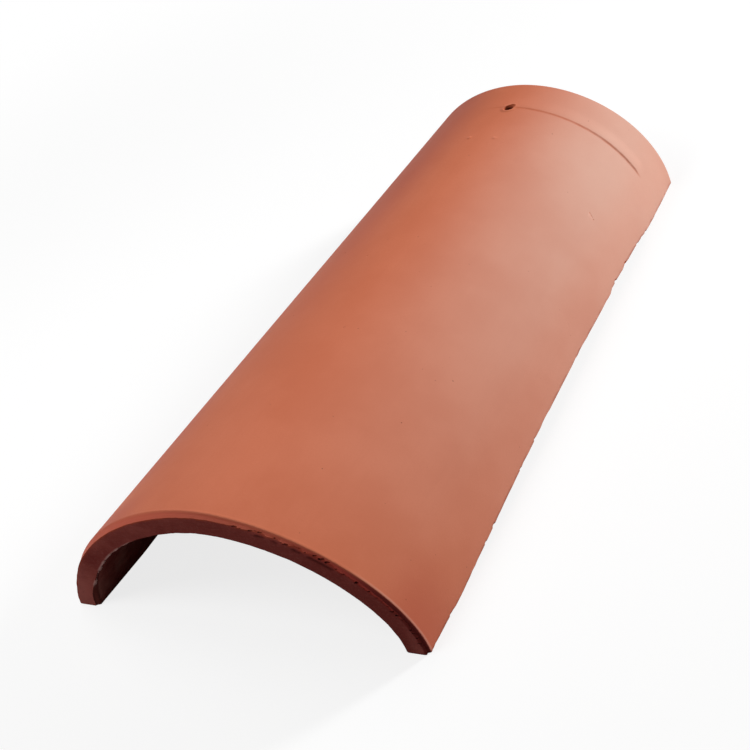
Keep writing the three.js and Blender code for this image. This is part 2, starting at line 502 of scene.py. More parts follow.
def torn_share(spot):
    """Where the outer arris is torn off in a long piece, from 0 to 1."""
    ragged = (spot.nibble - MIDDLE) * TEAR_RAGGED
    total = 0.0
    for middle, half in TEARS:
        off = abs(spot.degrees - middle) + ragged
        total = off.ramp(half + TEAR_OUTSIDE, half - TEAR_INSIDE) + total
    return total


def ragged_end(bench, spot, tear):
    """How far back from the cut the outer arris is nibbled and torn."""
    nibbled = spot.nibble.ramp(*RAGGED_BY) * spot.degrees.ramp(*RAGGED_ROUND)
    back = bench.most(nibbled, tear * TEAR_CUT) * spot.depth.ramp(*RAGGED_DEPTH)
    return (back + spot.waver * RAGGED_WAVER) * spot.along.ramp(*RAGGED_ALONG)


def arris_wear(spot):
    """How far the inner arris is rubbed off. Below zero, since it takes from the inner side."""
    wear = ARRIS_WEAR + spot.nibble.ramp(*ARRIS_NIBBLED)
    return -spot.along.ramp(*ARRIS_WEAR_ALONG) * wear


def burr_share(size, spot):
    """The ragged lip that the cutting wire dragged out along the inner arris, from 0 to 1."""
    arris = spot.depth.ramp(size["Wall"] - BURR_OUT, size["Wall"] - BURR_FULL)
    reach = spot.degrees.between(*BURR_ROUND) * spot.along.ramp(*BURR_ALONG)
    return arris * reach * spot.nibble.ramp(*BURR_FRAY)


# ---- ledge, hole, pimples and flanks

# The stop ledge near the narrow end: its reach round the tile, its profile along it, and its sweep.
LEDGE_SWELLS = (25.0, 55.0)
LEDGE_ENDS = ((69.5, 65.0), (-14.0, 6.0))
LEDGE_STEP, LEDGE_CREST, LEDGE_FALL = mm(1.3, 2.6, 12)
LEDGE_LEAST = 0.85
LEDGE_WAVER = 0.3
SWEEP_DEGREES = 69
SWEEP_BEFORE, SWEEP_BEHIND = mm(20, 10.6)
# Where shade is painted along the ledge's foot: its middle and width, its ends round the tile, and how
# patchy it is.
LINE = mm(0.4, 1.4, 0.3)
LINE_ENDS = ((71.0, 66.0), (-10.0, 8.0))
LINE_FRAY = (0.3, 0.6, 0.55, 1.0)

# The ring of clay round the nail hole: how far outside it the ring is highest, its width, and its lean.
LIP = mm(0.6, 1.5, 0)
LIP_LEAN = (3 * MM, -3 * MM, 0.7, 1.3)

# Where the flanks are out of true: the left one is pressed in above its foot, swells in on its inner
# side and splays at the wide end's foot, and the right one swells out.
FLAT_ROUND = ((-61.0, -73.0), (-86.0, -79.0))
FLAT_ALONG = mm(120, 20)
RIGHT_SWELLING_ROUND = (62.0, 84.0)
RIGHT_SWELLING_ALONG = (mm(8, 40), mm(399, 382))
LEFT_SWELLING_ROUND = (-45.0, -62.0)
LEFT_SWELLING_ALONG = mm(260, 140)
SPLAY_ROUND = (-66.0, -86.0)
SPLAY_ALONG = mm(1.8, 0.2)


def find_ledge(size, spot):
    """Notes where the ledge's foot is, and how far along from there a point lies."""
    spot.ledge = size["Length"] - size["Ledge From End"]
    spot.past_ledge = spot.along - spot.ledge


def ledge_rise(bench, size, spot):
    """The stop ledge: a small step up, a short crest and a slow fall, from the crown to the right."""
    right, left = LEDGE_ENDS
    swell = spot.degrees.ramp(*LEDGE_SWELLS)
    height = bench.blend(size["Ledge Faint Height"], size["Ledge Height"], swell)
    height = height * spot.degrees.ramp(*right) * spot.degrees.ramp(*left)
    step = spot.along.ramp(spot.ledge, spot.ledge + LEDGE_STEP)
    fall = spot.along.ramp(spot.ledge + LEDGE_CREST, spot.ledge + LEDGE_FALL, 1.0, 0.0)
    return height * step * fall * (LEDGE_LEAST + LEDGE_WAVER * spot.waver)


def swept(bench, size, spot):
    """Where a row lies along the tile. At the ledge the rows sweep back with it towards the flanks."""
    reach = bench.least(abs(spot.degrees) / SWEEP_DEGREES, 1.0)
    fade_in = spot.along.ramp(spot.ledge - SWEEP_BEFORE, spot.ledge, smooth=False)
    fade_out = spot.along.ramp(size["Length"], spot.ledge + SWEEP_BEHIND, smooth=False)
    return spot.along - size["Ledge Sweep"] * reach * reach * bench.least(fade_in, fade_out)


def ledge_shade_line(spot):
    """How far shade is painted along the foot of the stop ledge, kept free of the painted sheen, from 0
    to 1.
    """
    line = spot.past_ledge.near(*LINE)
    return line * spot.degrees.between(*LINE_ENDS) * spot.nibble.ramp(*LINE_FRAY)


def hole_lip(bench, size, spot, across):
    """The low ring of clay pushed up round the nail hole, higher on the side that the pin leaned to."""
    off_along = spot.along - (size["Length"] - size["Hole From End"])
    off_across = across - size["Hole Off Crown"]
    cosine, sine = bench.cosine(size["Hole Turn"]), bench.sine(size["Hole Turn"])
    long_way = off_along * cosine - off_across * sine
    short_way = off_along * sine + off_across * cosine
    from_edge = bench.distance(long_way / size["Hole Oval"], short_way) - size["Hole Diameter"] * 0.5
    return size["Lip Height"] * off_along.ramp(*LIP_LEAN) * from_edge.near(*LIP)


def pimples(bench, x, y, narrow_width, shape):
    """The round pimples on the back, as a height. X is from the crown and y from the wide end."""
    total = 0.0
    for degrees, along in PIMPLES:
        middle = math.sin(math.radians(degrees)) * narrow_width * PIMPLE_HALF_WIDTH
        total = bench.distance(y - along, x - middle).ramp(*shape) + total
    return total


def outer_drop(bench, size, spot, across):
    """How far the back lies inside the plain form."""
    flat = size["Left Flat"] * spot.degrees.between(*FLAT_ROUND)
    flat = flat * spot.along.ramp(*FLAT_ALONG)
    drop = size["Surface Relief"] * spot.swell + rim_drop(bench, size, spot) + flat
    drop = drop - ledge_rise(bench, size, spot) - hole_lip(bench, size, spot, across)
    drop = drop - pimples(bench, across, spot.along, size["Narrow Width"], PIMPLE_DOME)
    bulge = spot.degrees.ramp(*RIGHT_SWELLING_ROUND)
    return drop - size["Right Swelling"] * (bulge * spot.along.between(*RIGHT_SWELLING_ALONG))


def inner_drop(size, spot, burr):
    """How far the inner side lies inside its plain form. Below zero it is cut back into the wall."""
    drop = size["Surface Relief"] * (spot.dimple - MIDDLE)
    drop = drop + arris_wear(spot) + burr * size["Burr Height"]
    splay = size["Foot Splay"] * spot.degrees.ramp(*SPLAY_ROUND)
    drop = drop - splay * spot.along.ramp(*SPLAY_ALONG)
    bulge = spot.degrees.ramp(*LEFT_SWELLING_ROUND) * spot.along.ramp(*LEFT_SWELLING_ALONG)
    return drop + size["Left Swelling"] * bulge


# ---- bending


def tapered(bench, size, spot, name):
    """A size of the arch, between the wide end's and the narrow end's."""
    return bench.blend(size["Wide " + name], size["Narrow " + name], spot.share)


def bent_place(bench, size):
    """Where a point of the slab comes to lie once it is bent, and what to note on it there."""
    spot = slab_spot(bench, size)
    fullness = tapered(bench, size, spot, "Fullness")
    half_width = tapered(bench, size, spot, "Width") * 0.5
    height = tapered(bench, size, spot, "Height")

    foot = edge_floor(bench, size, spot) + corner_rise(bench, size, spot)
    foot = foot + edge_wear(spot) + edge_bite(size, spot)
    end_angle = bench.math("ARCCOSINE", (foot / (height - spot.depth)) ** (fullness * 0.5))
    angle = spot.around * end_angle
    spot.degrees = angle * math.degrees(1)
    find_riser(bench, size, spot)
    find_ledge(size, spot)

    spread = bench.sine(abs(angle)) ** (2 / fullness)
    burr = burr_share(size, spot)
    outer = outer_drop(bench, size, spot, spot.side * spread * half_width)
    inner = inner_drop(size, spot, burr)
    drop = bench.blend(outer, inner, spot.through.ramp(0.0, 1.0, smooth=False))

    tear = torn_share(spot)
    x = spot.side * (half_width - spot.depth - drop) * spread
    y = swept(bench, size, spot) + ragged_end(bench, spot, tear) - size["Length"] * 0.5
    z = (height - spot.depth - drop) * bench.cosine(angle) ** (2 / fullness)
    # Where shade is painted under the torn arris.
    torn = tear * spot.along.ramp(*TEAR_ALONG) * spot.depth.near(*TEAR_DEPTH)
    frayed = abs(spot.around).ramp(*FOOT_ARRIS_SHADE_ROUND) * spot.nibble.ramp(*FOOT_ARRIS_SHADE_BY)
    notes = {
        "rubbed": rubbed_rim(spot), "creased": painted_crease_shade(bench, spot), "torn": torn,
        "worn": rim_line(spot, BEAD_HIGHLIGHT), "stepped": ledge_shade_line(spot), "frayed": frayed,
        "burred": burr,
    }
    return bench.vector(x, y, z), notes


# ---- piercing and breaking

# The pin that makes the nail hole, and the shallow gouge that it dragged out on one side.
PIN_SHAPE = {"Vertices": 48, "Side Segments": 24, "Depth": 40 * MM}
GOUGE_SHAPE = mm(1.9, 2.5, 1.4)
GOUGE_OFF_HOLE, GOUGE_RISE = mm(2.3, 0.5)
GOUGE_FINENESS = 4

# Where the right long edge is chipped, and how large the chip is.
CHIPS = [
    mm(346, 1.1), mm(331, 1.3), mm(309, 1.0), mm(291, 1.3), mm(152, 1.2),
    mm(129, 0.9), mm(88, 1.4), mm(76, 1.1), mm(27, 0.9),
]

# Dents in the back: degrees, place along, depth and radius.
DENTS = [(-11.8, 217.9 * MM, 0.15 * MM, 0.9 * MM), (3.0, 150 * MM, 0.12 * MM, 0.7 * MM)]

# A scratch on the right flank: the degrees and place of its two ends, with the tool's depth and radius.
SCRATCH_START = (56.9, 310.9 * MM)
SCRATCH_END = (59.9, 308.6 * MM)
SCRATCH_DEPTH, SCRATCH_RADIUS = mm(0.13, 0.6)
SCRATCH_STEPS = 7

# The lumps that break out nicks, chips and scuffs, and the crumbs on the burr: how they are drawn out
# across, along and up, how rough they are, and how small the least of them is.
NICK_SHAPE = (2.4, 0.6, 0.55)
CHIP_SHAPE = (0.5, 1.5, 0.8)
SCUFF_SHAPE = (1.0, 1.0, 1.0)
CRUMB_SHAPE = (1.0, 0.9, 1.0)
STONE_GRAIN = 1.6 * MM
STONE_ROUGHNESS = 0.9
STONE_FINENESS = 3
SMALLEST_MARK = 0.3

# Where nicks and crumbs lie, as shares of the way from the crown to a long edge, and which part of its
# own stretch of the arris each of them may take.
NICK_REACH = (0.14, 0.94)
NICK_SEED = 11
CRUMB_REACH = (-0.82, -0.4)
CRUMB_FROM_END = 0.8 * MM
CRUMB_SEED = 31
MARK_SPREAD = (0.15, 0.85)

# Points closer than this become one, and edges sharper than this stay crisp.
WELD_DISTANCE = 1e-6
CRISP_ANGLE = math.radians(38)


def ball(bench, fineness):
    sockets = {"Radius": 1.0, "Subdivisions": fineness}
    return bench.add("GeometryNodeMeshIcoSphere", None, sockets)["Mesh"]


def piercing(bench, size, tool, lean, scale, off=0.0, rise=0.0):
    """A tool in its place at the nail hole, or off it to one side. Its faces note that they pierce."""
    tool = store(bench, tool, "pierced", 1.0, domain="FACE")
    x = size["Hole Off Crown"] - bench.sine(size["Hole Turn"]) * off
    y = size["Length"] * 0.5 - size["Hole From End"] + bench.cosine(size["Hole Turn"]) * off
    place = bench.vector(x, y, size["Narrow Height"] + rise)
    turn = bench.vector(lean, 0.0, size["Hole Turn"])
    return bench.geometry("Transform", tool, Translation=place, Rotation=turn, Scale=scale)


def nail_punch(bench, size):
    """The pin that pierces the crown."""
    sockets = {**PIN_SHAPE, "Radius": size["Hole Diameter"] * 0.5}
    pin = bench.add("GeometryNodeMeshCylinder", None, sockets)["Mesh"]
    return piercing(bench, size, pin, size["Hole Lean"], bench.vector(1.0, size["Hole Oval"], 1.0))


def nail_gouge(bench, size):
    """The shallow hollow that the pin dragged out beside its hole."""
    tool = ball(bench, GOUGE_FINENESS)
    return piercing(bench, size, tool, 0.0, GOUGE_SHAPE, GOUGE_OFF_HOLE, GOUGE_RISE)


def chance(bench, low, high, seed):
    """A random number for each point."""
    return bench.add("FunctionNodeRandomValue", None, {"Min": low, "Max": high, "Seed": seed})["Value"]


def scattered_marks(bench, count, reach, along, through, mark_size, seed):
    """Points strewn along an arris of the flat slab, well apart. Many are small and a few are large."""
    low, high = reach
    index = bench.add("GeometryNodeInputIndex")["Index"]
    step = (index + chance(bench, *MARK_SPREAD, seed)) / count
    where = bench.vector(low + (high - low) * step, along, through)
    marks = bench.add("GeometryNodePoints", None, {"Count": count, "Position": where})["Points"]
    luck = chance(bench, 0.0, 1.0, seed + 1)
    share = SMALLEST_MARK + (1 - SMALLEST_MARK) * luck * luck
    return store(bench, marks, "mark_size", mark_size * share)


def stones(bench, size, marks, place, shape, name):
    """Rough lumps, one at each mark, in the bent tile's place. Their faces keep a name."""
    marks = bench.geometry("SetPosition", marks, Position=place)
    reach = stored(bench, "mark_size")
    scale = bench.vector(*(reach * part for part in shape))
    sockets = {"Points": marks, "Instance": ball(bench, STONE_FINENESS), "Scale": scale}
    lump = bench.add("GeometryNodeInstanceOnPoints", None, sockets)["Instances"]
    lump = bench.geometry("RealizeInstances", lump)
    bulge = bench.noise(position(bench), STONE_GRAIN, size["Seed"] + 5, detail=2.0) - MIDDLE
    normal = bench.add("GeometryNodeInputNormal")["Normal"]
    sockets = {"Vector": normal, "Scale": bulge * reach * STONE_ROUGHNESS}
    push = bench.add("ShaderNodeVectorMath", {"operation": "SCALE"}, sockets)["Vector"]
    lump = bench.geometry("SetPosition", lump, Offset=push)
    return store(bench, lump, name, 1.0, domain="FACE")


def combine(bench, body, other, operation="DIFFERENCE"):
    """The body with another closed mesh cut away or added."""
    settings = {"operation": operation, "solver": "MANIFOLD"}
    sockets = {"Mesh 1": body, "Mesh 2": other} if operation == "DIFFERENCE" else {"Mesh": [body, other]}
    return bench.add("GeometryNodeMeshBoolean", settings, sockets)["Mesh"]


def damaged(bench, size, body, place):
    """The bent tile with crumbs on its burr, and with the hole, nicks, chips and scuffs cut out."""
    crumbs = scattered_marks(
        bench, size["Burr Crumbs"], CRUMB_REACH, CRUMB_FROM_END / LENGTH, 1.0, size["Crumb Size"],
        CRUMB_SEED)
    body = combine(bench, body, stones(bench, size, crumbs, place, CRUMB_SHAPE, "crumb"), "UNION")
    body = combine(bench, body, nail_punch(bench, size))
    body = combine(bench, body, nail_gouge(bench, size))
    nicks = scattered_marks(
        bench, size["Arris Nicks"], NICK_REACH, 0.0, 0.0, size["Nick Size"], NICK_SEED)
    sockets = {"Geometry": size["Marks"], "Selection": stored(bench, "is_chip")}
    marks = bench.add("GeometryNodeSeparateGeometry", {"domain": "POINT"}, sockets)
    cuts = [
        (nicks, NICK_SHAPE, "nicked"), (marks["Selection"], CHIP_SHAPE, "broken"),
        (marks["Inverted"], SCUFF_SHAPE, "scuffed"),
    ]
    for points, shape, name in cuts:
        body = combine(bench, body, stones(bench, size, points, place, shape, name))
    return bench.geometry("MergeByDistance", body, Distance=WELD_DISTANCE)


def noted_again(bench, body, whole, names):
    """Writes the notes afresh from the uncut tile, because the new points round a cut have none."""
    nearest = bench.add("GeometryNodeSampleNearest", {"domain": "POINT"}, {"Geometry": whole})["Index"]
    for name in names:
        sockets = {"Geometry": whole, "Value": stored(bench, name), "Index": nearest}
        value = bench.add("GeometryNodeSampleIndex", {"domain": "POINT"}, sockets)["Value"]
        body = store(bench, body, name, value)
    return body


def smoothed(bench, body):
    """The body shaded smooth, with its sharp edges left crisp."""
    edge_angle = bench.add("GeometryNodeInputMeshEdgeAngle")["Unsigned Angle"]
    soft = {"Shade Smooth": bench.math("LESS_THAN", edge_angle, CRISP_ANGLE)}
    body = bench.geometry("SetShadeSmooth", body, {"domain": "FACE"})
    return bench.geometry("SetShadeSmooth", body, {"domain": "EDGE"}, **soft)


def tile_tree():
    """The node tree that lays out the slab, bends it, pierces it and chips it."""
    tree = bpy.data.node_groups.new("barrel_tile_forming", "GeometryNodeTree")
    kinds = {name: "Int" if isinstance(value, int) else "Float" for name, value in SLAB_SIZES.items()}
    for name, kind in {"Marks": "Geometry", **kinds, "Clay": "Material"}.items():
        tree.interface.new_socket(name, in_out="INPUT", socket_type="NodeSocket" + kind)
    tree.interface.new_socket("Tile", in_out="OUTPUT", socket_type="NodeSocketGeometry")

    bench = Bench(tree)
    size = bench.add("NodeGroupInput")
    place, notes = bent_place(bench, size)
    slab = slab_grid(bench, size)
    for name, value in notes.items():
        slab = store(bench, slab, name, value)
    whole = bench.geometry("SetPosition", slab, Position=place)
    body = damaged(bench, size, whole, place)
    body = smoothed(bench, noted_again(bench, body, whole, notes))
    body = bench.geometry("RealizeInstances", body)
    body = bench.geometry("SetMaterial", body, Material=size["Clay"])
    bench.add("NodeGroupOutput", None, {"Tile": body})
    return tree


def placed(name, data):
    """A new object in the scene."""
    thing = bpy.data.objects.new(name, data)
    bpy.context.scene.collection.objects.link(thing)
    return thing


def set_inputs(modifier, values):
    """Sets a modifier's inputs, which go by their identifiers."""
    for item in modifier.node_group.interface.items_tree:
        if item.in_out == "INPUT" and item.name in values:
            modifier[item.identifier] = values[item.name]


def known_marks():
    """Points on the flat slab where the tile is chipped, dented and scratched, with the marks' sizes."""
    marks = [(EDGE_DEGREES, along, 0.0, radius) for along, radius in CHIPS]
    marks += [(degrees, along, depth - radius, radius) for degrees, along, depth, radius in DENTS]
    for step in range(SCRATCH_STEPS):
        share = step / (SCRATCH_STEPS - 1)
        degrees, along = (a + (b - a) * share for a, b in zip(SCRATCH_START, SCRATCH_END))
        marks.append((degrees, along, SCRATCH_DEPTH - SCRATCH_RADIUS, SCRATCH_RADIUS))
    mesh = bpy.data.meshes.new("marks")
    places = [(turn / EDGE_DEGREES, along / LENGTH, depth / WALL) for turn, along, depth, _ in marks]
    mesh.from_pydata(places, [], [])
    sizes = [radius for *_, radius in marks]
    is_chip = [number < len(CHIPS) for number in range(len(marks))]
    for name, values in (("mark_size", sizes), ("is_chip", is_chip)):
        mesh.attributes.new(name, "FLOAT", "POINT").data.foreach_set("value", values)
    return mesh


def make_tile(clay):
    """The tile as one plain mesh."""
    forming = placed("forming", known_marks())
    modifier = forming.modifiers.new("forming", "NODES")
    modifier.node_group = tile_tree()
    set_inputs(modifier, {**SLAB_SIZES, "Clay": clay})
    shaped = forming.evaluated_get(bpy.context.evaluated_depsgraph_get())
    mesh = bpy.data.meshes.new_from_object(shaped)
    mesh.name = "barrel_tile_clay"
    forming.modifiers.remove(modifier)
    bpy.data.objects.remove(forming)
    return placed("barrel_tile_clay", mesh)


# ---- the clay

# The fired skin of the back, and the raw clay under it that every cut and break shows.
SKIN_RED = srgb(200, 109, 76)
SKIN_DEEP = srgb(192, 102, 70)
SKIN_PALE = srgb(205, 116, 84)
# A pale colour painted on as sheen, and on the rim's bead as a highlight.
PALE_SHEEN = srgb(212, 184, 170)
RAW_RED = srgb(180, 94, 84)
RAW_DEEP = srgb(141, 61, 56)
RAW_WARM = srgb(186, 102, 76)
RAW_PALE = srgb(194, 128, 116)
FOOT_DUST = srgb(212, 128, 120)
DARK_SPECK = srgb(112, 58, 44)
RUBBED_RED = srgb(186, 84, 60)
RUBBED_DEEP = srgb(160, 54, 44)
# Painted shade for the rim's groove.
CREASE_SHADE = srgb(126, 50, 46)
# Painted shade for the lining, the nicks and the tears.
DEEP_SHADE = srgb(72, 24, 22)
# Painted shade deep in the nail hole.
HOLE_SHADE = srgb(44, 13, 9)
# Painted shade for the left flank and the wide end's corners.
SHADE_TONE = srgb(182, 91, 68)
# Painted shade along the long edges' lower arris.
FOOT_ARRIS_SHADE_BROWN = srgb(142, 70, 52)
SAND = srgb(206, 164, 150)
# Pale dust on the burr, partly also a painted highlight where it catches the light.
BURR_DUST_AND_HIGHLIGHT = srgb(232, 184, 176)

# Noises of the skin and of the raw clay: grain, seed, detail and roughness.
SKIN_DRIFT = (55 * MM, 1.0, 3.0, 0.6)
SKIN_CLOUD = (16 * MM, 2.0, 3.0, 0.6)
SKIN_GRAIN = (0.9 * MM, 3.0, 2.0, 0.7)
SKIN_STREAKS = (3 * MM, 4.0, 2.0)
RAW_DRIFT = (24 * MM, 6.0, 3.0, 0.6)
RAW_GRIT = (1.1 * MM, 7.0, 3.0, 0.7)
LENGTHWISE_DRAG = (2 * MM, 8.0, 3.0)
CROSSWISE_DRAG = (0.9 * MM, 9.0, 3.0)

# How a pattern is drawn out along the tile, and across it.
DRAWN_ALONG = (1.0, 0.03, 1.0)
DRAWN_ACROSS = (0.08, 1.0, 1.0)

# Scattered dots: their spacing, their radius, the share of the cells that have one, and their seed.
PORES = (6 * MM, 0.35 * MM, 0.35, 0.0)
SPECKS = (9 * MM, 0.4 * MM, 0.4, 5.0)
PITS = (3.2 * MM, 0.4 * MM, 0.4, 9.0)
SAND_GRAINS = (1.7 * MM, 0.35 * MM, 0.45, 13.0)

# How high the grain, streaks, grit, drag lines and sand stand, and how deep pores and pits go.
GRAIN_HIGH, STREAK_HIGH, GRIT_HIGH, DRAG_HIGH, SAND_HIGH = mm(0.05, 0.03, 0.06, 0.1, 0.12)
PORE_DEEP, PIT_DEEP = mm(0.2, 0.2)
CLAY_IOR = 1.5
SKIN_GLOSS = 0.25
SKIN_ROUGHNESS = 0.65
CLOUD_ROUGHNESS = 0.12
GRAIN_ROUGHNESS = 0.1

# How a noise turns one colour into another, or how strongly it lays on a coat.
SKIN_DRIFTS = (0.35, 0.65)
SKIN_REDDENS = 0.5
CLOUDED = (0.45, 0.72, 0.0, 0.22)
STREAKED = (0.4, 0.7, 0.0, 0.12)
GRAINED = (0.35, 0.7, 0.0, 0.16)
PALE_SHEEN_DRIFTS = (0.3, 0.7, 0.92, 1.08)
RAW_DRIFTS = (0.3, 0.7)
GRITTED = (0.45, 0.75, 0.0, 0.2)
DRAGGED = (0.45, 0.75, 0.0, 0.35)
SAND_DRIFTS = (0.45, 0.75, 0.0, 0.3)

# How strongly a coat covers the clay where it lies.
COVER = {
    "painted_shade": 0.9, "stepped": 0.6, "specks": 0.5, "pores": 0.6, "scuffed": 0.5, "worn": 0.22,
    "frayed": 0.7, "sand": 0.5, "lining_shade": 0.6, "pits": 0.6, "opened": 0.85, "hole": 0.93,
    "burr": 0.9, "nicked": 0.7, "torn": 0.75,
}

# Where the finish, its painted sheen and its painted shade change over the tile: across it, from -1 at
# its left foot to 1 at its right one, and along it, from its middle. Each patch of painted shade also
# has its strength.
PALE_SHEEN_ACROSS = ((-0.1, 0.83), (0.83, 0.99, 1.0, 0.82))
PALE_SHEEN_ALONG = (-210 * MM, 150 * MM, 0.025, 0.6)
SHADE_TONE_PATCHES = [
    ((-0.12, -0.5), mm(-120, 130), 1.0),
    ((-0.42, -0.74), mm(-185, -150), 0.85),
    ((-0.33, -0.62), mm(-168, -190), 1.0),
    ((0.78, 0.98), mm(-150, -196), 0.75),
]
SCUFF_DEEPENS = (0.3, 0.5)
CORE_ACROSS = ((-0.38, 0.0), (0.955, 0.87))
CORE_STRENGTH = 0.75
LEFT_FOOT_DUST = (-0.8, -0.99, 0.0, 0.45)
RIGHT_FOOT_DUST = (0.9, 0.98, 0.0, 0.15)
SANDED_ALONG = mm(-198.5, -196)
WARM_ALONG = (-150 * MM, 0.0, 0.0, 0.8)
RIM_DEEPENS = mm(30, 85)
# Over which heights shade is painted into the nail hole.
HOLE_DARKENS = mm(71.3, 69.8)

# The marks that show raw clay.
RAW_MARKS = ("cut_end", "long_edge", "lining", "pierced", "broken", "nicked", "crumb", "creased", "torn")


def cleared(owner):
    """The emptied node tree of a material or of the world."""
    owner.use_nodes = True
    owner.node_tree.nodes.clear()
    return Bench(owner.node_tree)


def marked(bench, name):
    """A value that the forming kept on the mesh."""
    return bench.add("ShaderNodeAttribute", {"attribute_name": name})["Fac"]


def cover(bench, name):
    """How strongly a mark's coat covers the clay."""
    return marked(bench, name) * COVER[name]


def clay_spot(bench):
    """A point of the finished tile, from the tile's middle, and how far across it lies, from -1 to 1."""
    place = bench.add("ShaderNodeTexCoord")["Object"]
    x, y, z = bench.parts(place).values()
    half_width = y.ramp(-LENGTH / 2, LENGTH / 2, WIDE_WIDTH / 2, NARROW_WIDTH / 2, smooth=False)
    return SimpleNamespace(place=place, x=x, y=y, z=z, across=x / half_width)


def clay_surface(bench, colour, roughness, gloss, height):
    """Clay of a colour, uneven by a height in metres."""
    normal = bench.add("ShaderNodeBump", None, {"Distance": 1.0, "Height": height})["Normal"]
    sockets = {
        "Base Color": colour, "Roughness": roughness, "IOR": CLAY_IOR, "Specular IOR Level": gloss,
        "Normal": normal,
    }
    return bench.add("ShaderNodeBsdfPrincipled", None, sockets)["BSDF"]


def rim_coats(bench, spot):
    """The rubbed rim is red, deeper towards the right foot, with shade painted dark in the groove behind
    it.
    """
    red = bench.tint(spot.x.ramp(*RIM_DEEPENS), RUBBED_RED, RUBBED_DEEP)
    return [(marked(bench, "rubbed"), red), (marked(bench, "creased"), CREASE_SHADE)]


def pale_sheen_share(spot):
    """A painted sheen, laid on as a pale lime bloom. It grows towards the narrow end and the right."""
    return spot.across.between(*PALE_SHEEN_ACROSS) * spot.y.ramp(*PALE_SHEEN_ALONG, smooth=False)


def painted_shade_share(bench, spot):
    """Painted shade on the skin: the left flank and the wide end's corners."""
    total = 0.0
    for across, along, strength in SHADE_TONE_PATCHES:
        patch = spot.across.ramp(*across) * spot.y.ramp(*along) * strength
        total = bench.most(patch, total)
    return total


def skin_shader(bench, spot):
    """The back: slipped smooth over the former, so it is fine grained, streaked and low in gloss."""
    drift = bench.noise(spot.place, *SKIN_DRIFT)
    cloud = bench.noise(spot.place, *SKIN_CLOUD)
    grain = bench.noise(spot.place, *SKIN_GRAIN)
    streaks = bench.noise(bench.join("MULTIPLY", spot.place, DRAWN_ALONG), *SKIN_STREAKS)
    pores = bench.dots(spot.place, *PORES)
    specks = bench.dots(spot.place, *SPECKS)
    # On the flank's scratch the tint is deeper, as painted shade in its groove; on the dents near the
    # crown it is paler.
    scuff = bench.tint(spot.across.ramp(*SCUFF_DEEPENS), SKIN_PALE, SKIN_DEEP)

    colour = bench.tint(drift.ramp(*SKIN_DRIFTS), SKIN_DEEP, SKIN_PALE)
    colour = bench.coated(colour, [
        (SKIN_REDDENS, SKIN_RED),
        (cloud.ramp(*CLOUDED), SKIN_PALE),
        (streaks.ramp(*STREAKED), SKIN_DEEP),
        (grain.ramp(*GRAINED), SKIN_DEEP),
        # Painted sheen, growing towards the narrow end and the right.
        (pale_sheen_share(spot) * drift.ramp(*PALE_SHEEN_DRIFTS), PALE_SHEEN),
        # Painted shade on the left flank and the wide end's corners.
        (painted_shade_share(bench, spot) * COVER["painted_shade"], SHADE_TONE),
        # Painted shade along the foot of the stop ledge.
        (cover(bench, "stepped"), SKIN_DEEP),
        (specks * COVER["specks"], DARK_SPECK),
        (pores * COVER["pores"], DARK_SPECK),
        (cover(bench, "scuffed"), scuff),
        # Painted highlight on the rim's bead, on the right flank.
        (cover(bench, "worn"), PALE_SHEEN),
        # Painted shade in a speckled line along the long edges' lower arris.
        (cover(bench, "frayed"), FOOT_ARRIS_SHADE_BROWN),
        *rim_coats(bench, spot),
    ])
    roughness = SKIN_ROUGHNESS + (cloud - MIDDLE) * CLOUD_ROUGHNESS + (grain - MIDDLE) * GRAIN_ROUGHNESS
    tips = pimples(bench, spot.x, spot.y + LENGTH / 2, NARROW_WIDTH, PIMPLE_TIP)
    height = grain * GRAIN_HIGH + streaks * STREAK_HIGH - pores * PORE_DEEP + tips
    return clay_surface(bench, colour, roughness, SKIN_GLOSS, height)


